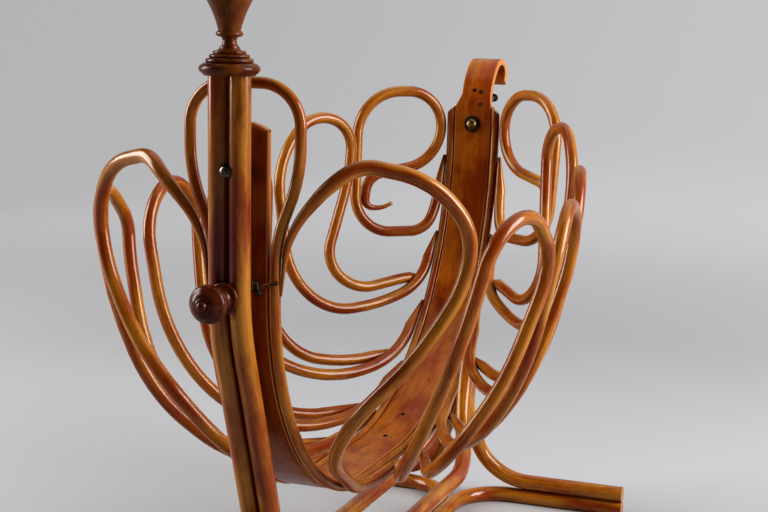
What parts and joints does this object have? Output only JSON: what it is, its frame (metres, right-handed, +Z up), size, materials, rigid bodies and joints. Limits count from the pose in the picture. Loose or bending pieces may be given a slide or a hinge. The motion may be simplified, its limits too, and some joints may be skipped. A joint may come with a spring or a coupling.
{
  "type": "bentwood cradle",
  "caption": "Swinging cradle of bent varnished rods: a loop-sided basket on a bent spine plank, hung between two posts of a rod stand, with a turned knob catch.",
  "frame": {"origin": "on the floor, under the middle of the overall box", "axes": "+X from the post with the knob to the other post, +Y to the left when looking along +X, +Z up"},
  "size_m": [1.045, 0.5806, 0.855],
  "materials": {
    "honey_wood": "glossy honey-brown varnish, darker in the grooves",
    "plank_wood": "glossy red-brown varnish",
    "dark_wood": "polished, nearly black brown",
    "dark_iron": "dull, dark with age",
    "old_brass": "worn, brown in the hollows"
  },
  "bodies": {
    "stand": {"frame_rod_left": "honey_wood", "frame_rod_right": "honey_wood", "floor_rod_left": "honey_wood", "floor_rod_right": "honey_wood", "foot_near_left": "honey_wood", "foot_near_right": "honey_wood", "foot_far_left": "honey_wood", "foot_far_right": "honey_wood", "collar": "honey_wood", "finial": "honey_wood", "pivot_bolt_near": "dark_iron", "pivot_bolt_far": "dark_iron", "pivot_spacer_near": "dark_iron", "pivot_spacer_far": "dark_iron", "pivot_washer_near": "dark_iron", "pivot_washer_far": "dark_iron", "pivot_nut_near": "old_brass", "pivot_nut_far": "old_brass"},
    "basket": {"spine_plank": "plank_wood", "edge_rod_left": "honey_wood", "edge_rod_right": "honey_wood", "loop_left_1": "honey_wood", "loop_left_2": "honey_wood", "loop_left_3": "honey_wood", "loop_left_4": "honey_wood", "loop_left_5": "honey_wood", "loop_right_1": "honey_wood", "loop_right_2": "honey_wood", "loop_right_3": "honey_wood", "loop_right_4": "honey_wood", "loop_right_5": "honey_wood", "scroll_left": "honey_wood", "scroll_right": "honey_wood", "pivot_bush_near": "old_brass", "pivot_bush_far": "old_brass", "strap_bolt": "dark_iron", "strap_nut": "dark_iron"},
    "catch": {"catch_knob": "dark_wood", "catch_spindle": "dark_iron", "catch_rosette": "dark_iron", "catch_arm": "dark_iron"}
  },
  "joints": [
    {"name": "cradle_swing", "type": "hinge", "parent": "stand", "child": "basket", "pos_m": [0, 0, 0.615], "axis": [1, 0, 0], "range_deg": [-15, 15]},
    {"name": "catch_turn", "type": "hinge", "parent": "stand", "child": "catch", "pos_m": [-0.45325, 0, 0.48], "axis": [1, 0, 0], "range_deg": [-90, 0]}
  ]
}
